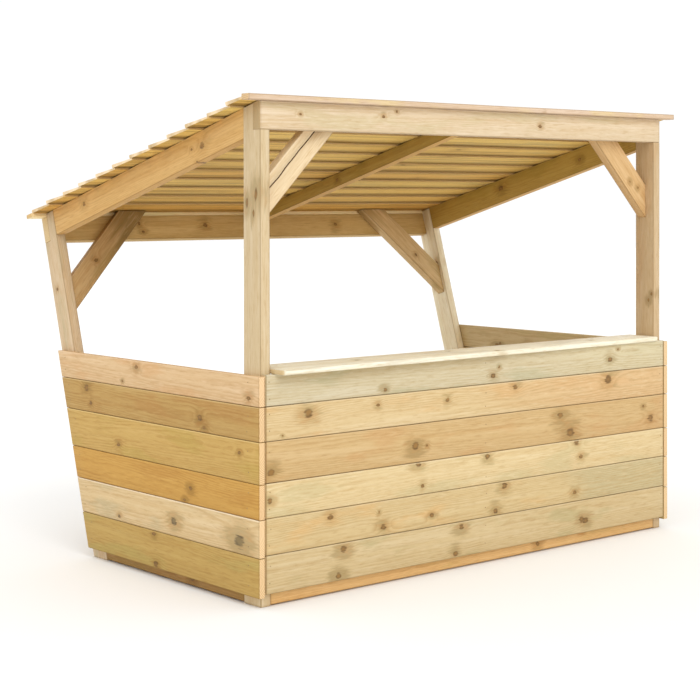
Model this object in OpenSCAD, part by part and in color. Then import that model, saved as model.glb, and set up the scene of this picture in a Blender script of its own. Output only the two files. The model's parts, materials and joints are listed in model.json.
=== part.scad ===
// Wooden market stall: an open frame of planed softwood, boarded at the front and
// the two sides, with a counter shelf and a lean-to roof of feather-edge boards.
// X runs along the counter, Y from the front to the back, and Z is up. The origin
// is on the ground, at the middle of the stall seen from above.

/* [Overall] */
// Length over the boarding of the two sides
stall_length = 2000; // [1500:10:2600]
// Depth on the ground, from the face of the front boards to the back of the posts
foot_depth = 1014; // [900:2:1200]
// Height of the front beam
beam_top = 1594; // [1500:2:1750]
// Slope of the roof, in degrees
roof_pitch = 15.5; // [10:0.5:20]
// Backward lean of the back posts, in degrees
back_lean = 16.8; // [4:0.2:20]

/* [Frame timbers] */
// Thickness of every frame timber
timber_t = 38; // [32:1:44]
// Width of the posts, front to back
post_d = 88; // [84:1:110]
// Height of the front and back beams
beam_h = 90; // [70:1:120]
// Height of the side rafters and of the back beam
rafter_h = 95; // [60:1:120]
// Height of the slimmer middle rafter
mid_rafter_h = 50; // [40:1:90]
// Width of the braces
brace_w = 89; // [60:1:100]
// Distance of a front brace's lower edge from its corner, down the post
front_brace_leg = 383; // [300:1:450]
// Distance of a back brace's lower edge from its corner, down the post
back_brace_leg = 376; // [300:1:450]
// Height of the rails between the feet
rail_h = 90; // [60:1:120]
// Height of the rails above the ground
rail_lift = 4; // [0:1:20]

/* [Boarding] */
// Thickness of the wall boards
board_t = 22; // [16:1:25]
// Height of the top edge of the side boards
sides_top = 729; // [700:1:800]
// Height of the top edge of the front boards, which the counter rests on
front_top = 733; // [700:1:800]
// Spacings of the front boards, from the bottom one up
front_boards = [122, 116, 111, 131, 110, 100]; // [90:1:135]
// Spacings of the side boards, from the bottom one up
side_boards = [126, 120, 111, 133, 110, 96]; // [90:1:135]
// Open joint between two boards
board_gap = 1; // [0.5:0.5:3]
// Gap between the end of a front board and the side board beside it
corner_gap = 2; // [1:0.5:5]
// Distance of the side boards' back ends from the back face of the posts
side_setback = 8; // [0:1:20]

/* [Counter] */
// Depth of the counter shelf behind the face of the front boards
counter_back = 140; // [110:1:200]
// Thickness of the counter shelf
counter_t = 17; // [16:1:28]
// Overhang of the counter in front of the boarding, at its left end
left_overhang = 50; // [20:1:80]
// Overhang of the counter at its right end, as the shelf lies a little askew
right_overhang = 6; // [0:1:80]
// Radius of the counter's front corners
counter_r = 12; // [4:1:20]
// Gap between the counter and each front post
counter_gap = 1; // [0.5:0.5:4]

/* [Roof] */
// Overhang of the roof past the boarding at each side
roof_overhang = 40; // [20:1:80]
// Depth of the cap board along the front edge
cap_w = 38; // [30:1:42]
// Thickness of the cap board
cap_t = 20; // [16:1:24]
// Number of roof boards
roof_board_count = 12; // [11:1:12]
// Width of a roof board
roof_board_w = 128; // [124:1:134]
// Spacing of the roof boards along the slope
roof_exposure = 116.2; // [114:0.1:117]
// Distance of the top board's lower edge from the cap
first_exposure = 84.4; // [70:0.2:90]
// Thickness of a roof board along its lower edge
roof_thick = 12; // [10:0.5:14]
// Thickness of a roof board along its upper edge
roof_thin = 6; // [4:0.5:8]
// Thickness of the strip between the back beam and the lowest roof board
strip_t = 14; // [10:1:20]
// How far the eaves strip holds up the lower edge of the lowest roof board
eaves_rise = 3.5; // [1:0.5:7]

/* [Hidden] */
$fn = 48;
half_length = stall_length / 2;
reach = 2 * beam_top;
// Inner and outer planes of the frame, and the back of the front beam
frame_x = half_length - board_t;
inner_x = frame_x - timber_t;
beam_back = board_t + timber_t;
post_back = board_t + post_d;
// Rise of a roof board's lower edge over the thin edge of the board below it
overlap_clearance = 0.3;
overlap = roof_board_w - roof_exposure;
lap_rise = (roof_thin + (roof_thick - roof_thin) * overlap / roof_board_w)
    / (1 - overlap / roof_board_w) + overlap_clearance;
// Length along a leaning post at which the line of the roof, lowered by a drop,
// crosses the plane at a depth in front of the post's back face
function roof_along_post(depth, drop) =
    (beam_top - drop - depth * sin(back_lean)
        - tan(roof_pitch) * (foot_depth - depth * cos(back_lean) - cap_w))
    / (cos(back_lean) + tan(roof_pitch) * sin(back_lean));
back_beam_top = roof_along_post(timber_t, strip_t - eaves_rise);
back_ledge = back_beam_top - rafter_h;
back_edge = foot_depth + roof_along_post(0, 0) * sin(back_lean);
middle_y = (back_edge - max(left_overhang, right_overhang)) / 2;
function sum_from(sizes, i) = i < len(sizes) ? sizes[i] + sum_from(sizes, i + 1) : 0;
function board_bottom(top, sizes, i) = top - sum_from(sizes, i) + board_gap;

post_colour = [0.80, 0.74, 0.56];
timber_colour = [0.78, 0.66, 0.46];
board_colour = [0.82, 0.72, 0.51];
roof_colour = [0.76, 0.68, 0.52];
counter_colour = [0.80, 0.74, 0.60];

// Puts the origin at the middle of the stall's depth
module place() translate([0, -middle_y, 0]) children();

// Extrudes a side profile, drawn in Y and Z, between two planes across X
module along_x(from, to) translate([from, 0, 0]) rotate([90, 0, 90])
    linear_extrude(to - from) children();

// Side profiles in Y and Z
module above_ground() translate([-reach, 0]) square([2 * reach, reach]);

module roof_frame(drop = 0) translate([cap_w, beam_top - drop])
    rotate(-roof_pitch) children();

module below_roof(drop = 0) roof_frame(drop)
    translate([-reach, -reach]) square([2 * reach, reach]);

module lean_frame() translate([foot_depth, 0]) rotate(-back_lean) children();

module in_front_of_back_posts() lean_frame()
    translate([-reach - post_d, -reach]) square([reach, 2 * reach]);

// Frame
module front_post() color(post_colour) place() along_x(-frame_x, -inner_x)
    intersection() {
        difference() {
            translate([board_t, 0]) square([post_d, reach]);
            translate([0, beam_top - beam_h]) square([beam_back, reach]);
        }
        below_roof();
    }

module back_post() color(post_colour) place() along_x(-frame_x, -inner_x)
    intersection() {
        lean_frame() difference() {
            translate([-post_d, -post_d]) square([post_d, reach]);
            translate([-timber_t, back_ledge]) square([2 * timber_t, reach]);
        }
        above_ground();
        below_roof();
    }

module front_left_post() front_post();
module front_right_post() mirror([1, 0, 0]) front_post();
module back_left_post() back_post();
module back_right_post() mirror([1, 0, 0]) back_post();

module front_beam() color(timber_colour) place() along_x(-frame_x, frame_x)
    intersection() {
        translate([board_t, beam_top - beam_h]) square([timber_t, beam_h]);
        below_roof();
    }

module back_beam() color(timber_colour) place() along_x(-frame_x, frame_x)
    intersection() {
        lean_frame() translate([-timber_t, back_ledge]) square([timber_t, 2 * rafter_h]);
        below_roof(strip_t - eaves_rise);
    }

module side_rafter() color(timber_colour) place() along_x(-frame_x, -inner_x)
    intersection() {
        roof_frame() translate([0, -rafter_h]) square([reach, rafter_h]);
        translate([post_back, 0]) square([reach, reach]);
        in_front_of_back_posts();
    }

module left_rafter() side_rafter();
module right_rafter() mirror([1, 0, 0]) side_rafter();

module middle_rafter() color(timber_colour) place() along_x(-timber_t / 2, timber_t / 2)
    intersection() {
        roof_frame() translate([0, -mid_rafter_h]) square([reach, mid_rafter_h]);
        translate([beam_back, 0]) square([reach, reach]);
        lean_frame() translate([-reach - timber_t, -reach]) square([reach, 2 * reach]);
    }

// A brace's outline from its corner, the lower edge at 45 degrees, running past the top
module brace_outline(top, leg) {
    cut = brace_w * sqrt(2);
    past = 2 * strip_t;
    polygon([[0, top - leg], [leg + past, top + past],
             [leg + past - cut, top + past], [0, top - leg + cut]]);
}

module front_brace() color(timber_colour) place() intersection() {
    translate([-inner_x, beam_back + timber_t, 0]) rotate([90, 0, 0])
        linear_extrude(timber_t) brace_outline(beam_top, front_brace_leg);
    along_x(-half_length, half_length) below_roof();
}

module back_brace() color(timber_colour) place() intersection() {
    translate([-inner_x, foot_depth, 0]) rotate([-back_lean, 0, 0])
        translate([0, -timber_t, 0]) rotate([90, 0, 0])
            linear_extrude(timber_t) brace_outline(back_beam_top, back_brace_leg);
    along_x(-half_length, half_length) below_roof();
}

module front_left_brace() front_brace();
module front_right_brace() mirror([1, 0, 0]) front_brace();
module back_left_brace() back_brace();
module back_right_brace() mirror([1, 0, 0]) back_brace();

module front_rail() color(timber_colour) place() along_x(-inner_x, inner_x)
    translate([board_t, rail_lift]) square([timber_t, rail_h]);

// Upright behind the middle of the front boards, from the rail to the counter
module middle_stud() color(timber_colour) place()
    translate([-timber_t / 2, board_t, rail_lift + rail_h])
        cube([timber_t, timber_t, front_top - rail_lift - rail_h]);

module side_rail() color(timber_colour) place() along_x(-frame_x, -inner_x)
    intersection() {
        translate([post_back, rail_lift]) square([reach, rail_h]);
        in_front_of_back_posts();
    }

module left_rail() side_rail();
module right_rail() mirror([1, 0, 0]) side_rail();

// Boarding
module front_board(i) color(board_colour) place() {
    end_x = frame_x - corner_gap;
    translate([-end_x, 0, board_bottom(front_top, front_boards, i - 1)])
        cube([2 * end_x, board_t, front_boards[i - 1] - board_gap]);
}

module side_board(i) color(board_colour) place() along_x(-half_length, -frame_x)
    intersection() {
        translate([0, board_bottom(sides_top, side_boards, i - 1)])
            square([reach, side_boards[i - 1] - board_gap]);
        translate([-side_setback, 0]) lean_frame()
            translate([-reach, -reach]) square([reach, 2 * reach]);
    }

module left_board(i) side_board(i);
module right_board(i) mirror([1, 0, 0]) side_board(i);

// Counter, set between the front posts. Its front edge runs slightly askew and its
// front corners are rounded: each corner's circle touches the end and the front edge
module counter() color(counter_colour) place()
    translate([0, 0, front_top]) linear_extrude(counter_t) {
        end_x = inner_x - counter_gap;
        slope = (left_overhang - right_overhang) / (2 * end_x);
        stretch = sqrt(1 + slope * slope);
        touch = counter_r / stretch * [slope, -1];
        left = [counter_r - end_x, counter_r * (slope + stretch) - left_overhang];
        right = [end_x - counter_r, counter_r * (stretch - slope) - right_overhang];
        polygon([[-end_x, counter_back], [-end_x, left.y], left, left + touch,
                 right + touch, right, [end_x, right.y], [end_x, counter_back]]);
        for (centre = [left, right]) translate(centre) circle(r = counter_r);
    }

// Roof boards, thick along the lower edge and thin under the board above
module roof_board(lower_edge, rise) polygon([
    [lower_edge - roof_board_w, 0], [lower_edge, rise],
    [lower_edge, rise + roof_thick], [lower_edge - roof_board_w, roof_thin]]);

module roof_boards() color(roof_colour) place()
    along_x(-half_length - roof_overhang, half_length + roof_overhang)
        intersection() {
            roof_frame() for (k = [0:roof_board_count - 1])
                roof_board(first_exposure + k * roof_exposure,
                    k < roof_board_count - 1 ? lap_rise : eaves_rise);
            translate([cap_w, 0]) square([reach, reach]);
        }

module roof_cap() color(roof_colour) place()
    along_x(-half_length - roof_overhang, half_length + roof_overhang)
        translate([0, beam_top]) square([cap_w, cap_t]);

// The space under the lowest roof board, which the strip fills up to
module under_lowest_board() {
    upper = first_exposure + (roof_board_count - 1) * roof_exposure - roof_board_w;
    polygon([[upper, 0], [upper + reach, eaves_rise * reach / roof_board_w],
             [upper + reach, -reach], [upper, -reach]]);
}

module eaves_strip() color(timber_colour) place()
    along_x(-half_length - roof_overhang, half_length + roof_overhang)
        intersection() {
            lean_frame() translate([-timber_t, 0]) square([timber_t, reach]);
            roof_frame() under_lowest_board();
            roof_frame(strip_t - eaves_rise) square([reach, reach]);
        }

front_left_post();
front_right_post();
back_left_post();
back_right_post();
front_beam();
back_beam();
left_rafter();
middle_rafter();
right_rafter();
front_left_brace();
front_right_brace();
back_left_brace();
back_right_brace();
front_rail();
left_rail();
right_rail();
middle_stud();
counter();
roof_boards();
roof_cap();
eaves_strip();
for (i = [1:len(front_boards)])
    front_board(i);
for (i = [1:len(side_boards)])
    left_board(i);
for (i = [1:len(side_boards)])
    right_board(i);
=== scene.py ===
"""The looks of a wooden market stall: pressure-treated pine boards on a planed frame,
a counter shelf and a lean-to roof of feather-edge boards. Metres throughout."""

import json
import math
import random

import bmesh
import bpy
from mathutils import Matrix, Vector, noise


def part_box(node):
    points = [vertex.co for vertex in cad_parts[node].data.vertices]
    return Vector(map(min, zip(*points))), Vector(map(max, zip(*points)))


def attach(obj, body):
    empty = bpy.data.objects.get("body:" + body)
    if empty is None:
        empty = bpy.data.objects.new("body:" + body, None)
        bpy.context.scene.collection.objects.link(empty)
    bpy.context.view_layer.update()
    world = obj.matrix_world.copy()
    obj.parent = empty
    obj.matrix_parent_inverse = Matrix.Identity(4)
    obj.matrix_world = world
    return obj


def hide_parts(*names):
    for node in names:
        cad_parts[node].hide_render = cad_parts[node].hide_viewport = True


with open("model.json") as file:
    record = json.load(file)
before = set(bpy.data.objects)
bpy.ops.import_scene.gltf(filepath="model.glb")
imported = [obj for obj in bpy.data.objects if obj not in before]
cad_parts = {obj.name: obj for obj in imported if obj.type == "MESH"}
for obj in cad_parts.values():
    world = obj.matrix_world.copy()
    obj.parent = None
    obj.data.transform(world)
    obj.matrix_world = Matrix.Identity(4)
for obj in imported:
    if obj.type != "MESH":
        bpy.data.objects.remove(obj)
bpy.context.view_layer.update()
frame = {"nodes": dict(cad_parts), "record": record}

# ---------------------------------------------------------------- front boards
# Six planed pine boards, 22 mm thick, nailed across the front posts and the stud
# behind their middle. Treatment leaves each board its own cast, from grey-green to
# orange, with brown knots and a soft halo round them.
X, Y, Z = Vector((1, 0, 0)), Vector((0, 1, 0)), Vector((0, 0, 1))


class Figure:
    """A value that varies over the wood. Arithmetic on it adds Math nodes."""

    def __init__(self, paint, socket):
        self.paint, self.socket = paint, socket

    def maths(self, operation, *values):
        return self.paint.node("ShaderNodeMath", {"operation": operation}, dict(enumerate(values)))

    def __add__(self, other):
        return self.maths("ADD", self, other)

    __radd__ = __add__

    def __sub__(self, other):
        return self.maths("SUBTRACT", self, other)

    def __rsub__(self, other):
        return self.maths("SUBTRACT", other, self)

    def __mul__(self, other):
        return self.maths("MULTIPLY", self, other)

    __rmul__ = __mul__

    def __truediv__(self, other):
        return self.maths("DIVIDE", self, other)

    def __pow__(self, other):
        return self.maths("POWER", self, other)

    def __rpow__(self, other):
        return self.maths("POWER", other, self)

    def __abs__(self):
        return self.maths("ABSOLUTE", self)

    def __mod__(self, other):
        return self.maths("FLOORED_MODULO", self, other)


class Paint:
    """The node tree of one finish. Its methods add a node each and return its value."""

    def __init__(self, name):
        self.material = bpy.data.materials.new(name)
        self.material.use_nodes = True
        self.tree = self.material.node_tree
        self.tree.nodes.clear()

    def node(self, kind, settings=None, inputs=None, output=0):
        made = self.tree.nodes.new(kind)
        for key, value in (settings or {}).items():
            setattr(made, key, value)
        for key, value in (inputs or {}).items():
            if isinstance(value, Figure):
                self.tree.links.new(value.socket, made.inputs[key])
            else:
                made.inputs[key].default_value = value
        return None if output is None else Figure(self, made.outputs[output])

    def step(self, value, start, end):
        """0 before start and 1 past end, with a soft rise between. start may be the larger."""
        return self.node("ShaderNodeMapRange", {"interpolation_type": "SMOOTHSTEP"},
                         {"Value": value, "From Min": start, "From Max": end})

    def blend(self, share, first, second):
        return self.node("ShaderNodeMix", {"data_type": "RGBA"},
                         {0: share, 6: first, 7: second}, output=2)

    def vector(self, operation, first, second=(0, 0, 0), output=0):
        return self.node("ShaderNodeVectorMath", {"operation": operation},
                         {0: first, 1: second}, output)

    def join(self, u, v, w):
        return self.node("ShaderNodeCombineXYZ", {}, {0: u, 1: v, 2: w})

    def cloud(self, u, v, w, detail):
        """Noise from 0 to 1, with its patches a unit long in each of u, v and w."""
        return self.node("ShaderNodeTexNoise", {},
                         {"Vector": self.join(u, v, w), "Scale": 1.0, "Detail": detail})

    def finish(self, shader):
        self.node("ShaderNodeOutputMaterial", {}, {"Surface": shader}, output=None)


def tone(red, green, blue):
    """A colour given by its 0 to 255 values."""
    return tuple((c / 255 / 12.92) if c < 11 else ((c / 255 + 0.055) / 1.055) ** 2.4
                 for c in (red, green, blue)) + (1.0,)


def stain(colour, red, green, blue):
    """The colour with each of its channels made stronger or weaker."""
    return (min(colour[0] * red, 1), min(colour[1] * green, 1), min(colour[2] * blue, 1), 1.0)


def axes_of(piece, along, across):
    """The grain's three directions, with the piece's middle and half size on each."""
    along, across = Vector(along).normalized(), Vector(across).normalized()
    axes = (along, across, along.cross(across))
    spans = [[axis.dot(vertex.co) for vertex in piece.data.vertices] for axis in axes]
    middles = [(min(span) + max(span)) / 2 for span in spans]
    halves = [(max(span) - min(span)) / 2 for span in spans]
    return axes, middles, halves


def pine(name, piece, along, across, colour, knots=(), seed=0, heart=(0.0, 0.05), tilt=0.02,
         ring=0.0055, cast=None, cast_share=0.6, figure=0.5, halo=0.62, ends=None,
         knot_colour=(116, 84, 40), second=None, second_span=None, oval=1.25, highlight_strength=0.6,
         underside_light=None, end_shade=0.3):
    """Treated pine: growth rings round a heart beside the piece, fibre, streaks and knots.

    Every colour is given by its 0 to 255 values. knots are (distance along, distance
    across, radius) from the piece's middle, and oval is a knot's length over its width.
    heart is where the tree's heart lies across and through the piece, tilt how far the
    grain slopes from it, and ring the width of a growth ring. cast is the colour of the
    treatment's cloudy patches, and second the colour that the wood turns to over
    second_span, two distances along from the middle. underside_light is a lighter colour
    painted on the face that looks against across, as painted light from below, and ends
    that of the sawn ends. figure, halo, highlight_strength and end_shade are the strengths
    of the rings, of the stain round a knot, of the painted highlight on the upper arris and
    of the painted shade beside the ends. The lower arris always gets a band of painted shade."""
    axes, middles, halves = axes_of(piece, along, across)
    colour = tone(*colour)
    paint = Paint(name)
    place = paint.node("ShaderNodeTexCoord", output="Object")
    u, v, w = (paint.vector("DOT_PRODUCT", place, axis, output="Value") - middle
               for axis, middle in zip(axes, middles))

    drift = paint.cloud(u * 1.5 + seed * 3.7, v * 9, w * 9, 2.0) - 0.5
    ripple = paint.cloud(u * 26 + seed * 1.9, v * 60, w * 60, 3.0) - 0.5
    fibre = paint.cloud(u * 24 + seed, v * 640, w * 640, 2.0)
    fleck = paint.cloud(u * 20 + seed * 2.3, v * 170, w * 170, 3.0)
    streak = paint.cloud(u * 1.6 + seed * 5.3, v * 48, w * 48, 4.0)
    cloudy = paint.cloud(u * 3.4 + seed * 7.1, v * 13, w * 13, 4.0)

    near = None  # how far the nearest knot is, in radii of that knot
    flat = paint.join(u + ripple * 0.011, v + ripple * 0.007, 0.0)
    for knot_u, knot_v, knot_radius in knots:
        offset = paint.vector("SUBTRACT", flat, (knot_u, knot_v, 0))
        scaled = paint.vector("MULTIPLY", offset, (1 / oval / knot_radius, 1 / knot_radius, 0))
        reach = paint.vector("LENGTH", scaled, output="Value")
        near = reach if near is None else near.maths("MINIMUM", near, reach)

    radius = ((v - heart[0] - u * tilt + drift * 0.05) ** 2 + (w - heart[1]) ** 2) ** 0.5
    lines = radius / ring + drift * 2.5 + ripple * 0.35
    if knots:
        lines = lines + 1.8 * math.e ** (near * near * -0.16)
    phase = lines % 1.0
    late = paint.step(phase, 0.25, 0.86) * paint.step(phase, 1.0, 0.9)
    depth = paint.step(cloudy, 0.35, 0.65) * 0.6 + 0.4

    dark = stain(colour, 0.68, 0.55, 0.38)
    pale = stain(colour, 1.12, 1.18, 1.34)
    wood = paint.blend(late * depth * figure, colour, dark)
    wood = paint.blend(paint.step(streak, 0.52, 0.70) * 0.42, wood, stain(colour, 0.86, 0.76, 0.62))
    wood = paint.blend(paint.step(streak, 0.47, 0.32) * 0.5, wood, pale)
    wood = paint.blend(paint.step(cloudy, 0.52, 0.66) * cast_share, wood,
                       tone(*cast) if cast else stain(colour, 0.88, 0.95, 0.84))
    if second:
        lead = u + drift * 0.5 + (streak - 0.5) * 0.25
        wood = paint.blend(paint.step(lead, *second_span) * 0.7, wood,
                           paint.blend(late * 0.4, tone(*second), dark))
    wood = paint.blend(paint.step(fleck, 0.54, 0.70) * 0.34, wood, dark)
    wood = paint.blend(paint.step(fleck, 0.46, 0.32) * 0.34, wood, pale)
    wood = paint.blend(paint.step(fibre, 0.5, 0.75) * 0.2, wood, dark)
    height = late * -0.35 + fibre * 0.5 + fleck * 0.5
    roughness = 0.58 + fibre * 0.16
    if knots:
        mottled = paint.step(cloudy + ripple * 0.9, 0.35, 0.68)
        spread = near + (streak - 0.5) * 7.0 + (fleck - 0.5) * 6.0 + (cloudy - 0.5) * 6.0
        glow = paint.step(spread, 3.8, 1.0)
        core = paint.step(near + (fleck - 0.5) * 1.6, 1.15, 0.55)
        rim = paint.step(near, 0.45, 0.85) * core * paint.step(ripple, -0.16, 0.12)
        brown = tone(*knot_colour)
        wood = paint.blend(glow * halo, wood, paint.blend(
            mottled, stain(colour, 0.52, 0.47, 0.31), stain(colour, 0.66, 0.46, 0.25)))
        wood = paint.blend(core * 0.85, wood, paint.blend(
            paint.step(near + mottled * 0.5, 0.3, 1.0), stain(brown, 1.6, 1.55, 1.4), brown))
        wood = paint.blend(rim * 0.55, wood, stain(brown, 0.45, 0.42, 0.38))
        height = height + core * 0.5
        roughness = roughness - core * 0.14

    across_edge = halves[1] - abs(v)
    arris = across_edge.maths("MAXIMUM", across_edge, halves[2] - abs(w))
    # Painted highlight: a pale, near-white band on the upper arrises, where light catches the eased edge.
    arris_highlight = paint.step(arris, 0.0055, 0.0012) * paint.step(cloudy + highlight_strength * 0.2, 0.48, 0.62)
    wood = paint.blend(arris_highlight * paint.step(v, -0.002, 0.002) * highlight_strength, wood,
                       stain(pale, 1.1, 1.15, 1.3) if highlight_strength > 0.6 else pale)
    # Painted shade: a dark band along the lower arrises, where shade falls under the edge.
    lower_arris_shade = paint.step(arris, 0.0045, 0.0006) * paint.step(v, 0.002, -0.002)
    wood = paint.blend(lower_arris_shade * 0.6, wood, stain(colour, 0.45, 0.36, 0.25))
    normal = paint.node("ShaderNodeTexCoord", output="Normal")
    sawn = paint.step(abs(paint.vector("DOT_PRODUCT", normal, axes[0], output="Value")), 0.6, 0.9)
    # Painted shade: the faces darken towards the ends of the piece, where it meets the parts beside it.
    end_edge = paint.step(halves[0] - abs(u), 0.008, 0.002) * (1 - sawn)
    wood = paint.blend(end_edge * end_shade, wood, stain(colour, 0.45, 0.36, 0.25))
    # Painted light: the face that looks against across is made lighter, as if lit from below.
    if underside_light:
        below = paint.step(paint.vector("DOT_PRODUCT", normal, axes[1], output="Value"), -0.6, -0.9)
        wood = paint.blend(below * 0.8, wood, paint.blend(late * 0.4, tone(*underside_light), colour))
    sawn_colour = tone(*ends) if ends else stain(colour, 1.0, 0.93, 0.84)
    wood = paint.blend(sawn * 0.85, wood, paint.blend(late * 0.5, sawn_colour, dark))

    bump = paint.node("ShaderNodeBump", {}, {"Strength": 0.55, "Distance": 0.0011, "Height": height})
    shader = paint.node("ShaderNodeBsdfPrincipled", {}, {
        "Base Color": wood, "Roughness": roughness, "Normal": bump, "Specular IOR Level": 0.3})
    paint.finish(shader)
    piece.data.materials.append(paint.material)


def planed(node, along, ease=0.0016, uneven=0.0006, slice_length=0.09, seed=0, crack=None):
    """A merged copy of a frame node with its arrises eased and its faces a little uneven.

    ease is the width taken off an arris and uneven the deepest hollow in a face. crack is (direction
    across, place, width, depth) of a drying crack in the -Y face, whose inside faces get a second,
    dark finish as painted shade."""
    form = bmesh.new()
    form.from_mesh(frame["nodes"][node].data)
    bmesh.ops.remove_doubles(form, verts=form.verts, dist=1e-5)
    bmesh.ops.dissolve_limit(form, angle_limit=0.01, verts=form.verts, edges=form.edges)
    bmesh.ops.recalc_face_normals(form, faces=form.faces)
    sharp = [edge for edge in form.edges if len(edge.link_faces) == 2 and edge.calc_face_angle() > 0.4]
    bmesh.ops.bevel(form, geom=sharp, offset=ease, segments=2, profile=0.5, affect="EDGES",
                    clamp_overlap=True)
    along = Vector(along).normalized()
    places = [along.dot(vertex.co) for vertex in form.verts]
    start, length = min(places), max(places) - min(places)
    count = max(int(length / slice_length), 1)
    for cut in range(1, count):
        bmesh.ops.bisect_plane(form, geom=form.verts[:] + form.edges[:] + form.faces[:],
                               dist=1e-6, plane_co=along * (start + length * cut / count),
                               plane_no=along)
    if crack:
        across, middle, width, depth = crack
        for offset in (-width / 2, 0, width / 2):
            bmesh.ops.bisect_plane(form, geom=form.verts[:] + form.edges[:] + form.faces[:],
                                   dist=1e-7, plane_co=across * (middle + offset), plane_no=across)
        face = min(vertex.co.y for vertex in form.verts)
        for vertex in form.verts:
            offset = across.dot(vertex.co) - middle
            share = (along.dot(vertex.co) - start) / length
            if vertex.co.y < face + 1e-4 and abs(offset) < width and 0.01 < share < 0.97:
                wander = noise.noise(Vector((share * 9, seed, 0))) * 0.0035
                vertex.co += across * wander
                if abs(offset) < 1e-5:
                    vertex.co.y += depth * math.sin(math.pi * share) ** 0.4
                    for cleft in vertex.link_faces:
                        if max(abs(across.dot(v.co - vertex.co)) for v in cleft.verts) < width:
                            cleft.material_index = 1
    form.normal_update()
    for vertex in form.verts:
        hollow = noise.noise(vertex.co * 5.5 + Vector((seed * 4.1, seed * 2.3, seed)))
        vertex.co -= vertex.normal * uneven * (0.5 + 0.5 * hollow)
    mesh = bpy.data.meshes.new(node + "_planed")
    form.to_mesh(mesh)
    form.free()
    return settle(mesh, node)


def settle(mesh, *nodes, name=None, slot="frame_timber"):
    """Places a finished mesh in the scene, riding on the stall in place of its nodes."""
    mesh.polygons.foreach_set("use_smooth", [True] * len(mesh.polygons))
    mesh.set_sharp_from_angle(angle=math.radians(35))
    piece = bpy.data.objects.new(name or mesh.name, mesh)
    bpy.context.scene.collection.objects.link(piece)
    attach(piece, "root")
    if nodes:
        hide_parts(*nodes)
    slots = frame["record"]["subparts"]
    next((s["material_slot"] for s in slots if s["node"] in nodes), slot)
    return piece


def chance_knots(seed, half_length, half_width, count):
    """Knots for a face that has none set out for it."""
    draw = random.Random(seed)
    return [(draw.uniform(-0.92, 0.92) * half_length, draw.uniform(-0.7, 0.7) * half_width,
             draw.uniform(0.005, 0.013)) for _ in range(count)]


# Each board's look, from the bottom one up. Here knots are (across the stall, height,
# radius).
front_boards = {
    1: dict(colour=(200, 177, 132), cast=(174, 161, 115), figure=0.4, tilt=0.012, heart=(0.02, 0.06),
            knots=[(-0.656, 0.145, 0.0115), (-0.677, 0.060, 0.0095), (-0.150, 0.058, 0.0098),
                   (-0.121, 0.148, 0.0098), (0.500, 0.096, 0.0120), (0.522, 0.088, 0.0120)]),
    2: dict(colour=(205, 181, 133), cast=(213, 173, 115), figure=0.5, tilt=0.02, heart=(-0.02, 0.045),
            second=(185, 173, 133), second_span=(0.36, 0.62),
            knots=[(-0.711, 0.256, 0.0100), (-0.482, 0.194, 0.0110), (-0.504, 0.244, 0.0042),
                   (-0.263, 0.205, 0.0084), (0.091, 0.267, 0.0110), (0.046, 0.183, 0.0094),
                   (0.461, 0.199, 0.0084)]),
    3: dict(colour=(216, 193, 146), cast=(197, 181, 135), figure=0.4, tilt=0.03, heart=(0.03, 0.05),
            knots=[(-0.324, 0.389, 0.0110), (-0.306, 0.309, 0.0076), (-0.960, 0.337, 0.0084),
                   (0.006, 0.380, 0.0092), (0.471, 0.386, 0.0120), (0.496, 0.329, 0.0090)]),
    4: dict(colour=(202, 171, 120), cast=(199, 158, 106), figure=0.45, tilt=-0.02, heart=(0.0, 0.05),
            knots=[(-0.338, 0.450, 0.0124), (-0.285, 0.446, 0.0050), (-0.955, 0.425, 0.0114),
                   (0.383, 0.491, 0.0118), (0.438, 0.423, 0.0178), (0.896, 0.436, 0.0134),
                   (0.854, 0.486, 0.0056)]),
    5: dict(colour=(213, 188, 141), cast=(212, 171, 115), figure=0.5, tilt=0.025, heart=(-0.01, 0.055),
            second=(211, 172, 124), second_span=(-0.10, 0.55),
            knots=[(-0.803, 0.600, 0.0150), (-0.505, 0.602, 0.0068), (-0.189, 0.594, 0.0078),
                   (-0.908, 0.537, 0.0034), (0.146, 0.611, 0.0110), (0.649, 0.604, 0.0152)]),
    6: dict(colour=(204, 190, 156), cast=(179, 173, 137), figure=0.35, tilt=-0.012, heart=(0.03, 0.06),
            second=(209, 196, 158), second_span=(0.15, 0.8),
            knots=[(-0.474, 0.650, 0.0068), (0.035, 0.661, 0.0094), (0.065, 0.691, 0.0044),
                   (0.660, 0.679, 0.0100), (0.706, 0.715, 0.0040)]),
}
for number, board in front_boards.items():
    piece = planed(f"front_board_{number}", X, ease=0.0018, uneven=0.0008, seed=number)
    low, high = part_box(f"front_board_{number}")
    middle = (low[2] + high[2]) / 2
    knots = [(x, z - middle, radius) for x, z, radius in board.pop("knots")]
    # The faces darken strongly towards the board ends: painted shade at the corners.
    pine(f"front_board_{number}_pine", piece, X, Z, knots=knots, seed=number,
         ends=(226, 190, 140), end_shade=0.85, **board)
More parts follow.
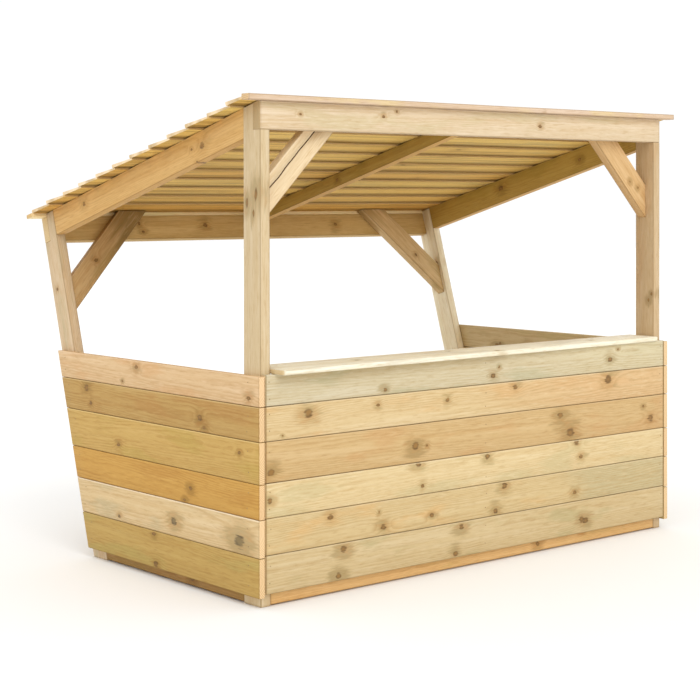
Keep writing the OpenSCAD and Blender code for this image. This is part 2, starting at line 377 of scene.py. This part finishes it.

# ---------------------------------------------------------------- side boards
# Six planed boards on each side, nailed to the posts over the ends of the front
# boards. Their back ends follow the lean of the back posts, and their pale sawn
# front ends show at the corner of the stall. Knots are (y, height, radius) here.
# Boards 2, 4 and 5 carry a strong painted highlight along their upper arris.
left_boards = {
    1: dict(colour=(188, 155, 87), cast=(179, 161, 92), figure=0.45, tilt=0.02, heart=(0.0, 0.05),
            knots=[(-0.074, 0.150, 0.0090), (-0.086, 0.047, 0.0110)]),
    2: dict(colour=(217, 190, 143), cast=(191, 177, 139), figure=0.5, tilt=-0.015, heart=(0.01, 0.05),
            highlight_strength=1.0, knot_colour=(101, 87, 58),
            knots=[(0.144, 0.178, 0.0066), (-0.194, 0.209, 0.0136), (-0.563, 0.201, 0.0210)]),
    3: dict(colour=(201, 155, 77), cast=(190, 141, 67), figure=0.55, tilt=0.025, heart=(-0.02, 0.045),
            knots=[(-0.292, 0.332, 0.0080), (-0.258, 0.288, 0.0054)]),
    4: dict(colour=(200, 164, 94), cast=(188, 159, 82), figure=0.5, tilt=-0.03, heart=(0.02, 0.05),
            highlight_strength=1.0,
            knots=[(0.146, 0.428, 0.0086), (-0.561, 0.481, 0.0058)]),
    5: dict(colour=(188, 152, 89), cast=(180, 135, 74), figure=0.6, tilt=0.035, heart=(0.0, 0.04),
            highlight_strength=1.0,
            knots=[(0.359, 0.608, 0.0116), (-0.344, 0.572, 0.0108), (-0.370, 0.540, 0.0074),
                   (0.330, 0.556, 0.0070)]),
    6: dict(colour=(218, 185, 140), cast=(213, 168, 117), figure=0.45, tilt=0.03, heart=(0.02, 0.05),
            knots=[(0.032, 0.706, 0.0092), (0.120, 0.652, 0.0044), (-0.610, 0.658, 0.0084)]),
}
right_colours = [(186, 162, 105), (196, 173, 124), (181, 150, 94), (194, 169, 117),
                 (185, 156, 101), (199, 177, 132)]
sawn_end_colour = (240, 206, 160)
for number, board in left_boards.items():
    piece = planed(f"left_board_{number}", Y, ease=0.0018, uneven=0.0008, seed=10 + number)
    axes, middles, halves = axes_of(piece, Y, Z)
    knots = [(y - middles[0], z - middles[1], radius) for y, z, radius in board.pop("knots")]
    pine(f"left_board_{number}_pine", piece, Y, Z, knots=knots, seed=10 + number,
         ends=sawn_end_colour, **board)

    piece = planed(f"right_board_{number}", Y, ease=0.0018, uneven=0.0008, seed=20 + number)
    axes, middles, halves = axes_of(piece, Y, Z)
    pine(f"right_board_{number}_pine", piece, Y, Z, right_colours[number - 1],
         chance_knots(20 + number, halves[0], halves[1], 3), seed=20 + number,
         ends=sawn_end_colour)

# ---------------------------------------------------------------- posts
# Four planed posts, 38 by 88 mm. The front pair stands upright and is notched at the
# top for the front beam; the back pair leans back and carries the back beam.
lean = math.radians(16.8)
up_the_lean = Vector((0, math.sin(lean), math.cos(lean)))
off_the_lean = Vector((0, math.cos(lean), -math.sin(lean)))
post_looks = {
    "front_left_post": dict(colour=(210, 188, 149), cast=(185, 176, 139), knots=[
        (0.505, -0.020, 0.0090), (0.446, -0.008, 0.0055), (0.480, 0.026, 0.0070)], oval=2.2),
    "front_right_post": dict(colour=(201, 175, 136), cast=(196, 163, 121), knots=[
        (0.095, -0.020, 0.0060), (0.120, -0.034, 0.0050)]),
    "back_left_post": dict(colour=(213, 188, 152), cast=(189, 175, 138), knots=[
        (0.36, 0.01, 0.006), (-0.3, 0.02, 0.009)]),
    "back_right_post": dict(colour=(239, 227, 196), cast=(226, 210, 167), knots=[
        (0.40, -0.02, 0.008), (0.30, 0.015, 0.007), (-0.35, 0.0, 0.010)]),
}
for number, (node, look) in enumerate(post_looks.items()):
    grain = up_the_lean if "back" in node else Z
    across = off_the_lean if "back" in node else Y
    piece = planed(node, grain, uneven=0.0005, seed=30 + number)
    pine(node + "_pine", piece, grain, across, seed=30 + number, heart=(0.03, 0.06),
         tilt=0.01, ring=0.0036, figure=0.45, ends=(196, 150, 92), **look)

# ---------------------------------------------------------------- beams and rafters
# The beams lie in notches in the posts and the three rafters run between them, under
# the roof boards. Each is planed, and nailed through from outside.
pitch = math.radians(15.5)
down_the_roof = Vector((0, math.cos(pitch), -math.sin(pitch)))
off_the_roof = Vector((0, math.sin(pitch), math.cos(pitch)))
rafter_end_colour = (206, 168, 104)
beam_looks = {
    "front_beam": (X, Z, dict(
        colour=(219, 197, 163), cast=(206, 189, 149), ends=(176, 150, 104), figure=0.4,
        knots=[(-0.815, 0.008, 0.0050), (-0.46, 0.012, 0.0060), (-0.40, 0.03, 0.0040),
               (0.30, 0.0, 0.0070)])),
    "back_beam": (X, up_the_lean, dict(
        colour=(211, 179, 117), cast=(194, 160, 96), ends=(222, 198, 154), figure=0.5,
        knots=[(-0.574, 0.015, 0.0070), (-0.560, -0.020, 0.0060), (-0.26, 0.005, 0.0100),
               (0.42, 0.0, 0.009)])),
    "left_rafter": (down_the_roof, off_the_roof, dict(
        colour=(216, 174, 109), cast=(210, 166, 96), ends=rafter_end_colour, figure=0.5, halo=0.3,
        knots=[(-0.368, -0.001, 0.0120), (-0.306, 0.004, 0.0055), (-0.325, -0.046, 0.0050),
               (0.395, 0.010, 0.0075)])),
    # The inner rafters get a lighter underside: painted light from below.
    "right_rafter": (down_the_roof, off_the_roof, dict(
        colour=(183, 150, 71), cast=(165, 136, 56), ends=rafter_end_colour, underside_light=(214, 170, 106),
        figure=0.5, knots=[(0.16, 0.010, 0.0110), (-0.30, 0.0, 0.007)])),
    "middle_rafter": (down_the_roof, off_the_roof, dict(
        colour=(168, 136, 62), cast=(146, 117, 41), ends=rafter_end_colour, underside_light=(226, 178, 108),
        figure=0.4, knots=[(0.1, 0.0, 0.006)])),
}
for number, (node, (grain, across, look)) in enumerate(beam_looks.items()):
    piece = planed(node, grain, uneven=0.0005, seed=40 + number)
    pine(node + "_pine", piece, grain, across, seed=40 + number, heart=(0.02, 0.055),
         tilt=0.015, ring=0.0038, **look)

# ---------------------------------------------------------------- braces
# Short timbers cut at 45 degrees, nailed to the posts and up into the roof frame. The
# front left one has opened in a long drying crack along its face.
crack_offset, crack_width, crack_depth = 0.0125, 0.0038, 0.014
brace_looks = {
    "front_left_brace": dict(colour=(228, 204, 164), cast=(223, 191, 148), figure=0.3),
    "front_right_brace": dict(
        colour=(212, 175, 123), cast=(207, 161, 102), figure=0.45,
        knots=[(-0.10, -0.012, 0.0045), (-0.15, 0.006, 0.0050)]),
    "back_left_brace": dict(
        colour=(196, 162, 112), cast=(168, 140, 84), figure=0.5, second=(112, 94, 42),
        second_span=(0.02, 0.17), knots=[(-0.05, 0.005, 0.007)]),
    "back_right_brace": dict(
        colour=(214, 184, 134), cast=(170, 146, 88), figure=0.5, second=(142, 116, 60),
        second_span=(0.02, 0.2), knots=[(-0.06, -0.01, 0.006)]),
}
for number, (node, look) in enumerate(brace_looks.items()):
    side = 1 if "left" in node else -1
    rise = up_the_lean if "back" in node else Z
    grain = (X * side + rise).normalized()
    across = (rise - X * side).normalized()
    crack = None
    if node == "front_left_brace":
        places = [across.dot(vertex.co) for vertex in frame["nodes"][node].data.vertices]
        crack = (across, (min(places) + max(places)) / 2 + crack_offset, crack_width, crack_depth)
    piece = planed(node, grain, uneven=0.0005, slice_length=0.02 if crack else 0.09,
                   seed=50 + number, crack=crack)
    pine(node + "_pine", piece, grain, across, seed=50 + number, tilt=0.03, ring=0.0038,
         ends=(200, 160, 100), **look)
    if crack:
        # The inside faces of the crack get a dark finish: painted shade in the crack.
        pine("crack_shade_pine", piece, grain, across, (96, 66, 38), seed=55)

# ---------------------------------------------------------------- rails and stud
# Rails close the foot of the front and the sides, and a stud stiffens the middle of
# the front boards.
rail_looks = {
    "front_rail": (X, Z, (218, 176, 116)), "left_rail": (Y, Z, (168, 130, 74)),
    "right_rail": (Y, Z, (200, 158, 100)), "middle_stud": (Z, X, (208, 170, 112)),
}
for number, (node, (grain, across, colour)) in enumerate(rail_looks.items()):
    piece = planed(node, grain, uneven=0.0005, seed=60 + number)
    axes, middles, halves = axes_of(piece, grain, across)
    pine(node + "_pine", piece, grain, across, colour,
         chance_knots(60 + number, halves[0], halves[1], 4), seed=60 + number, ring=0.0038,
         figure=0.45, ends=(190, 146, 90))

# ---------------------------------------------------------------- counter
# One planed shelf between the front posts, nailed down on the front boards. It has
# greyed a little more than the rest, as rain stands on it.
piece = planed("counter", X, ease=0.0035, uneven=0.0006, seed=70)
pine("counter_pine", piece, X, Y, (239, 232, 208),
     [(-0.55, 0.01, 0.007), (0.05, -0.05, 0.009), (0.62, 0.02, 0.006), (-0.1, 0.04, 0.005)],
     seed=70, heart=(0.0, -0.05), tilt=0.012, cast=(214, 206, 184), cast_share=0.5, figure=0.3,
     ends=(206, 176, 122))

# ---------------------------------------------------------------- roof boards
# Twelve sawn feather-edge boards, 12 mm thick at the lower edge and 6 mm at the upper,
# each lapped over the one below and nailed to the rafters. Made as one board and
# repeated down the slope.
cap_low, cap_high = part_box("roof_cap")
roof_low, roof_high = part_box("roof_boards")
top_of_slope = Vector((0, cap_high[1], cap_low[2]))
board_width, board_spacing, board_count = 0.128, 0.1162, 12
first_edge = 0.0844  # the top board's lower edge, down the slope from the cap's back edge
butt, feather = 0.012, 0.006
lap_rise, eaves_rise = 0.00752, 0.0035  # a lower edge's height on the next board, on the strip
end_play = 0.0045
midway, midway_share = 0.05, 0.61  # a place up the board, and its share of the rise there
eased_corner, worn_corner, pared_depth = 0.0012, 0.0015, 0.0008
stations = 44

form = bmesh.new()
profile = [(first_edge - board_width, 0.0), (first_edge - midway, lap_rise * midway_share),
           (first_edge - eased_corner, lap_rise), (first_edge, lap_rise + eased_corner),
           (first_edge, lap_rise + butt - worn_corner), (first_edge - worn_corner, lap_rise + butt),
           (first_edge - midway, feather + (lap_rise + butt - feather) * midway_share),
           (first_edge - board_width, feather)]
rows = []
for station in range(stations + 1):
    x = (roof_low[0] + end_play) * (1 - 2 * station / stations)
    row = []
    for distance, height in profile:
        pared = pared_depth * noise.noise(Vector((x * 7, distance * 20, 3.0)))
        spot = top_of_slope + down_the_roof * (distance - abs(pared)) + off_the_roof * height
        row.append(form.verts.new((x, spot.y, spot.z)))
    rows.append(row)
for left, right in zip(rows, rows[1:]):
    for corner in range(len(profile)):
        after = (corner + 1) % len(profile)
        form.faces.new((left[corner], right[corner], right[after], left[after]))
form.faces.new(rows[0])
form.faces.new(list(reversed(rows[-1])))
bmesh.ops.recalc_face_normals(form, faces=form.faces)
mesh = bpy.data.meshes.new("roof_board_pattern")
form.to_mesh(mesh)
form.free()
pattern_board = bpy.data.objects.new("roof_board_pattern", mesh)
bpy.context.scene.collection.objects.link(pattern_board)


class Layout:
    """A Geometry Nodes tree with named inputs."""

    def __init__(self, name, inputs):
        self.tree = bpy.data.node_groups.new(name, "GeometryNodeTree")
        self.tree.interface.new_socket("Geometry", in_out="INPUT", socket_type="NodeSocketGeometry")
        for label, (kind, value) in inputs.items():
            socket = self.tree.interface.new_socket(label, in_out="INPUT", socket_type=kind)
            if value is not None:
                socket.default_value = value
        self.tree.interface.new_socket("Geometry", in_out="OUTPUT", socket_type="NodeSocketGeometry")
        self.start = self.tree.nodes.new("NodeGroupInput")
        self.end = self.tree.nodes.new("NodeGroupOutput")

    def node(self, kind, settings=None, inputs=None, output=0):
        made = self.tree.nodes.new(kind)
        for key, value in (settings or {}).items():
            setattr(made, key, value)
        for key, value in (inputs or {}).items():
            if isinstance(value, bpy.types.NodeSocket):
                self.tree.links.new(value, made.inputs[key])
            else:
                made.inputs[key].default_value = value
        return made.outputs[output]

    def build(self, host, result, values, name):
        """Runs the tree on the host object and returns the result as a plain mesh."""
        self.tree.links.new(result, self.end.inputs[0])
        modifier = host.modifiers.new(name, "NODES")
        modifier.node_group = self.tree
        for item in self.tree.interface.items_tree:
            if item.in_out == "INPUT" and item.name in values:
                modifier[item.identifier] = values[item.name]
        host.data.update()
        ready = host.evaluated_get(bpy.context.evaluated_depsgraph_get())
        mesh = bpy.data.meshes.new_from_object(ready)
        mesh.name = name
        host.modifiers.remove(modifier)
        bpy.data.objects.remove(host)
        return mesh


paint = Paint("roof_boards_pine")
layout = Layout("roof_boards_down_the_slope", {
    "Boards": ("NodeSocketInt", board_count),
    "Spacing": ("NodeSocketVector", (0, 0, 0)),
    "End play": ("NodeSocketFloat", end_play),
    "Seed": ("NodeSocketInt", 5),
    "Finish": ("NodeSocketMaterial", None)})
line = layout.node("GeometryNodeMeshLine", {"mode": "OFFSET"}, {
    "Count": layout.start.outputs["Boards"], "Offset": layout.start.outputs["Spacing"]})
slid = layout.node("FunctionNodeRandomValue", {"data_type": "FLOAT_VECTOR"}, {
    "ID": layout.node("GeometryNodeInputIndex"), "Seed": layout.start.outputs["Seed"],
    "Min": layout.node("ShaderNodeVectorMath", {"operation": "SCALE"}, {
        0: (-1, 0, 0), "Scale": layout.start.outputs["End play"]}),
    "Max": layout.node("ShaderNodeVectorMath", {"operation": "SCALE"}, {
        0: (1, 0, 0), "Scale": layout.start.outputs["End play"]})})
line = layout.node("GeometryNodeSetPosition", {}, {"Geometry": line, "Offset": slid})
boards = layout.node("GeometryNodeInstanceOnPoints", {}, {
    "Points": line, "Instance": layout.start.outputs["Geometry"]})
boards = layout.node("GeometryNodeStoreNamedAttribute", {"data_type": "FLOAT", "domain": "INSTANCE"}, {
    "Geometry": boards, "Name": "board_number", "Value": layout.node("GeometryNodeInputIndex")})
shade = layout.node("FunctionNodeRandomValue", {"data_type": "FLOAT"}, {
    "ID": layout.node("GeometryNodeInputIndex"), "Seed": layout.start.outputs["Seed"]}, output=1)
named = layout.node("GeometryNodeStoreNamedAttribute", {"data_type": "FLOAT", "domain": "INSTANCE"}, {
    "Geometry": boards, "Name": "board_tone", "Value": shade})
real = layout.node("GeometryNodeRealizeInstances", {}, {"Geometry": named})
coarse = layout.node("ShaderNodeTexNoise", {}, {"Scale": 9.0, "Detail": 1.0})
lift = layout.node("ShaderNodeMapRange", {"data_type": "FLOAT"}, {
    "Value": coarse, "From Min": 0.3, "From Max": 0.7, "To Min": -0.0005, "To Max": 0.0})
shift = layout.node("ShaderNodeVectorMath", {"operation": "SCALE"}, {
    0: tuple(off_the_roof), "Scale": lift})
moved = layout.node("GeometryNodeSetPosition", {}, {"Geometry": real, "Offset": shift})
finished = layout.node("GeometryNodeSetMaterial", {}, {
    "Geometry": moved, "Material": layout.start.outputs["Finish"]})
mesh = layout.build(pattern_board, finished, {
    "Boards": board_count, "Spacing": tuple(down_the_roof * board_spacing),
    "End play": end_play, "Seed": 5, "Finish": paint.material}, "roof_boards_lapped")

# The lowest board lies flatter than the rest, and the top one is cut off at the cap.
form = bmesh.new()
form.from_mesh(mesh)
number_layer = form.verts.layers.float["board_number"]
upper_edge = first_edge + board_spacing * (board_count - 1) - board_width
for vertex in form.verts:
    if round(vertex[number_layer]) == board_count - 1:
        share = (down_the_roof.dot(vertex.co - top_of_slope) - upper_edge) / board_width
        vertex.co -= off_the_roof * (lap_rise - eaves_rise) * share
bmesh.ops.bisect_plane(form, geom=form.verts[:] + form.edges[:] + form.faces[:], dist=1e-6,
                       plane_co=Vector((0, cap_high[1], 0)), plane_no=-Y, clear_outer=True)
bmesh.ops.holes_fill(form, edges=[e for e in form.edges if e.is_boundary], sides=0)
bmesh.ops.recalc_face_normals(form, faces=form.faces)
form.to_mesh(mesh)
form.free()
settle(mesh, "roof_boards", name="roof_boards_lapped")

place = paint.node("ShaderNodeTexCoord", output="Object")
u = paint.vector("DOT_PRODUCT", place, X, output="Value")
v = paint.vector("DOT_PRODUCT", place, down_the_roof, output="Value")
w = paint.vector("DOT_PRODUCT", place, off_the_roof, output="Value")
board_tone = paint.node("ShaderNodeAttribute", {"attribute_name": "board_tone"}, output=2)
shifted = u + board_tone * 17.0
drift = paint.cloud(shifted * 1.3, v * 9, w * 9, 2.0) - 0.5
fibre = paint.cloud(shifted * 14, v * 420, w * 420, 2.0)
streak = paint.cloud(shifted * 0.8, v * 62, w * 30, 3.0)
cloudy = paint.cloud(shifted * 2.4, v * 13, w * 13, 3.0)
teeth = paint.cloud(shifted * 300, v * 14, w * 14, 1.0)
lines = (v * (210.0 + board_tone * 60) + drift * 7 + shifted * 1.4) % 1.0
late = paint.step(lines, 0.3, 0.85) * paint.step(lines, 1.0, 0.9)
cells = paint.node("ShaderNodeTexVoronoi", {"feature": "F1"}, {
    "Vector": paint.join(shifted * 3.2 + drift * 0.1, v * 8.6, 0.0), "Scale": 1.0, "Randomness": 1.0})
knot = paint.step(cells, 0.075, 0.045)
halo = paint.step(cells, 0.30, 0.04)
normal = paint.node("ShaderNodeTexCoord", output="Normal")
top_side = paint.step(paint.vector("DOT_PRODUCT", normal, off_the_roof, output="Value"), -0.2, 0.3)
under = paint.blend(board_tone, tone(233, 179, 89), tone(254, 223, 132))
above = paint.blend(board_tone, tone(176, 166, 132), tone(226, 198, 154))
wood = paint.blend(top_side, under, above)
dark = paint.blend(top_side, tone(150, 112, 48), tone(150, 128, 84))
wood = paint.blend(late * 0.45, wood, dark)
wood = paint.blend(paint.step(streak, 0.48, 0.62) * 0.5, wood, dark)
wood = paint.blend(paint.step(cloudy, 0.52, 0.72) * 0.35, wood, tone(178, 164, 116))
wood = paint.blend(halo * 0.35, wood, dark)
wood = paint.blend(knot * 0.85, wood, tone(92, 62, 30))
wood = paint.blend(paint.step(teeth, 0.5, 0.8) * 0.18, wood, dark)
sawn_end = paint.step(abs(paint.vector("DOT_PRODUCT", normal, X, output="Value")), 0.6, 0.9)
wood = paint.blend(sawn_end * 0.9, wood, paint.blend(paint.step(cloudy, 0.35, 0.65),
                                                     tone(204, 176, 132), tone(252, 226, 188)))
# Painted shade: a dark band on the underside of each roof board, below the lap where the board above shades
# it.
lap = ((first_edge - (board_width - board_spacing) + down_the_roof.dot(top_of_slope) - v)
       / board_spacing) % 1.0
lap_shade = paint.step(lap, 0.42, 0.0) * (1 - top_side) * (1 - sawn_end)
wood = paint.blend(lap_shade * 0.7, wood, tone(116, 82, 26))
# Painted highlight: the thin upper edge face of each roof board, facing the light up the slope, is made
# paler.
feather_edge_highlight = paint.step(paint.vector("DOT_PRODUCT", normal, down_the_roof, output="Value"),
                          -0.7, -0.9)
wood = paint.blend(feather_edge_highlight * 0.6, wood, tone(236, 200, 142))
bump = paint.node("ShaderNodeBump", {}, {"Strength": 0.6, "Distance": 0.001,
                                         "Height": fibre * 0.7 + teeth * 0.5 - late * 0.3})
shader = paint.node("ShaderNodeBsdfPrincipled", {}, {
    "Base Color": wood, "Roughness": 0.66 + fibre * 0.16, "Normal": bump, "Specular IOR Level": 0.25})
paint.finish(shader)

# ---------------------------------------------------------------- cap and eaves strip
# A flat batten covers the top edge of the roof over the front beam, and a thin strip
# on the back beam tips the lowest roof board up.
piece = planed("roof_cap", X, ease=0.0025, uneven=0.0007, seed=80)
pine("roof_cap_pine", piece, X, Y, (214, 188, 159), [(-0.45, 0.005, 0.005), (0.3, -0.004, 0.004)],
     seed=80, heart=(0.0, -0.05), cast=(228, 206, 150), figure=0.4, ends=(224, 190, 140))
piece = planed("eaves_strip", X, ease=0.001, uneven=0.0004, seed=81)
pine("eaves_strip_pine", piece, X, Y, (254, 230, 178), seed=81, figure=0.4,
     ends=(206, 166, 104))

# ---------------------------------------------------------------- nails
# Galvanised wire nails, in pairs at each board end and at the stud, their heads driven
# level with the wood. Made as one head, repeated on the nailing points and sunk a
# little, so that no gap shows under a head where the face is hollow.
head_radius, head_rise, head_thickness = 0.0023, 0.0001, 0.0014
inner_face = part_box("front_left_post")[1][0]
outer_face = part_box("front_left_post")[0][0]
post_middle = (inner_face + outer_face) / 2
nail_rows = (0.27, 0.75)  # a board's two nails, as shares of its height
stray_along, stray_up = 0.006, 0.004
front_inset, back_inset, roof_inset = 0.04, 0.046, 0.03
nail_points, nail_facing = [], []
front_face, left_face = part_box("front_board_1")[0][1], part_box("left_board_1")[0][0]
draw = random.Random(12)
for number in range(1, 7):
    low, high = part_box(f"front_board_{number}")
    for x in (post_middle, 0.0, -post_middle):
        for share in nail_rows:
            nail_points.append((x + draw.uniform(-stray_along, stray_along), front_face,
                                low[2] + (high[2] - low[2]) * share + draw.uniform(-stray_up, stray_up)))
            nail_facing.append((0, -1, 0))
    low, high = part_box(f"left_board_{number}")
    middle = (low[2] + high[2]) / 2
    post_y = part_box("front_left_post")[0][1] + front_inset
    back_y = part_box("back_left_post")[0][1] + back_inset + middle * math.tan(lean)
    for y in (post_y, back_y):
        for share in nail_rows:
            spot = (y + draw.uniform(-stray_along, stray_along),
                    low[2] + (high[2] - low[2]) * share + draw.uniform(-stray_up, stray_up))
            for side in (-1, 1):
                nail_points.append((-side * left_face, *spot))
                nail_facing.append((side, 0, 0))
for node in ("left_rafter", "middle_rafter", "right_rafter"):
    low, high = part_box(node)
    for number in range(board_count):
        distance = first_edge + board_spacing * number - roof_inset
        rise = eaves_rise if number == board_count - 1 else lap_rise
        spot = top_of_slope + down_the_roof * distance + off_the_roof * (
            feather + (rise + butt - feather) * (1 - roof_inset / board_width))
        nail_points.append(((low[0] + high[0]) / 2 + draw.uniform(-stray_along, stray_along), spot.y, spot.z))
        nail_facing.append(tuple(off_the_roof))

mesh = bpy.data.meshes.new("nailing_points")
mesh.from_pydata(nail_points, [], [])
facing = mesh.attributes.new("facing", "FLOAT_VECTOR", "POINT")
facing.data.foreach_set("vector", [c for direction in nail_facing for c in direction])
nailing = bpy.data.objects.new("nailing_points", mesh)
bpy.context.scene.collection.objects.link(nailing)

steel = Paint("galvanised_nail")
place = steel.node("ShaderNodeTexCoord", output="Object")
grime = steel.node("ShaderNodeTexNoise", {}, {"Vector": place, "Scale": 700.0, "Detail": 2.0})
shader = steel.node("ShaderNodeBsdfPrincipled", {}, {
    "Base Color": steel.blend(steel.step(grime, 0.4, 0.65), tone(176, 148, 108), tone(128, 100, 64)),
    "Roughness": 0.45 + grime * 0.3, "Metallic": 0.5})
steel.finish(shader)

layout = Layout("nail_heads_on_points", {
    "Head radius": ("NodeSocketFloat", head_radius), "Head rise": ("NodeSocketFloat", head_rise),
    "Head thickness": ("NodeSocketFloat", head_thickness), "Finish": ("NodeSocketMaterial", None)})
head = layout.node("GeometryNodeMeshCone", {}, {
    "Vertices": 12, "Radius Top": head_radius * 0.8, "Radius Bottom": layout.start.outputs["Head radius"],
    "Depth": layout.start.outputs["Head thickness"]})
sunk = layout.node("ShaderNodeMath", {"operation": "SUBTRACT"}, {
    0: layout.start.outputs["Head rise"], 1: layout.start.outputs["Head thickness"]})
head = layout.node("GeometryNodeTransform", {}, {
    "Geometry": head, "Translation": layout.node("ShaderNodeCombineXYZ", {}, {"Z": sunk})})
turn = layout.node("FunctionNodeAlignRotationToVector", {"axis": "Z"}, {
    "Vector": layout.node("GeometryNodeInputNamedAttribute", {"data_type": "FLOAT_VECTOR"},
                          {"Name": "facing"})})
heads = layout.node("GeometryNodeInstanceOnPoints", {}, {
    "Points": layout.start.outputs["Geometry"], "Instance": head, "Rotation": turn})
real = layout.node("GeometryNodeRealizeInstances", {}, {"Geometry": heads})
finished = layout.node("GeometryNodeSetMaterial", {}, {
    "Geometry": real, "Material": layout.start.outputs["Finish"]})
mesh = layout.build(nailing, finished, {
    "Head radius": head_radius, "Head rise": head_rise, "Head thickness": head_thickness,
    "Finish": steel.material}, "nail_heads")
settle(mesh, name="nail_heads", slot="frame_timber")

# ---------------------------------------------------------------- studio
# A pale floor that runs out to white, a broad soft light from the front and above,
# and a camera at standing height off the stall's left front corner.
bpy.ops.mesh.primitive_plane_add(size=60, location=(0, 0, -0.0005))
floor = bpy.context.object
floor.name = "studio_floor"
floor_paint = Paint("studio_floor_white")
shader = floor_paint.node("ShaderNodeBsdfPrincipled", {}, {
    "Base Color": (0.93, 0.93, 0.92, 1), "Roughness": 0.9, "Specular IOR Level": 0.0})
floor_paint.finish(shader)
floor.data.materials.append(floor_paint.material)

world = bpy.data.worlds.new("studio")
world.use_nodes = True
world.node_tree.nodes["Background"].inputs["Color"].default_value = (1.0, 1.0, 1.0, 1)
world.node_tree.nodes["Background"].inputs["Strength"].default_value = 1.02
bpy.context.scene.world = world
sun = bpy.data.lights.new("window_light", "SUN")
sun.energy, sun.angle = 1.0, math.radians(40)
sun_object = bpy.data.objects.new("window_light", sun)
sun_object.rotation_euler = Vector((0.25, 0.9, -0.75)).to_track_quat("-Z", "Y").to_euler()
bpy.context.scene.collection.objects.link(sun_object)

camera = bpy.data.cameras.new("camera")
camera.lens, camera.sensor_width = 84.6, 36.0
camera.shift_x, camera.shift_y = -0.0036, -0.193
camera_object = bpy.data.objects.new("camera", camera)
camera_object.location = (-4.1029, -4.7554, 1.2815)
camera_object.rotation_euler = (math.radians(89.48), math.radians(0.07), math.radians(-40.45))
bpy.context.scene.collection.objects.link(camera_object)
bpy.context.scene.camera = camera_object
bpy.context.scene.view_settings.view_transform = "Standard"
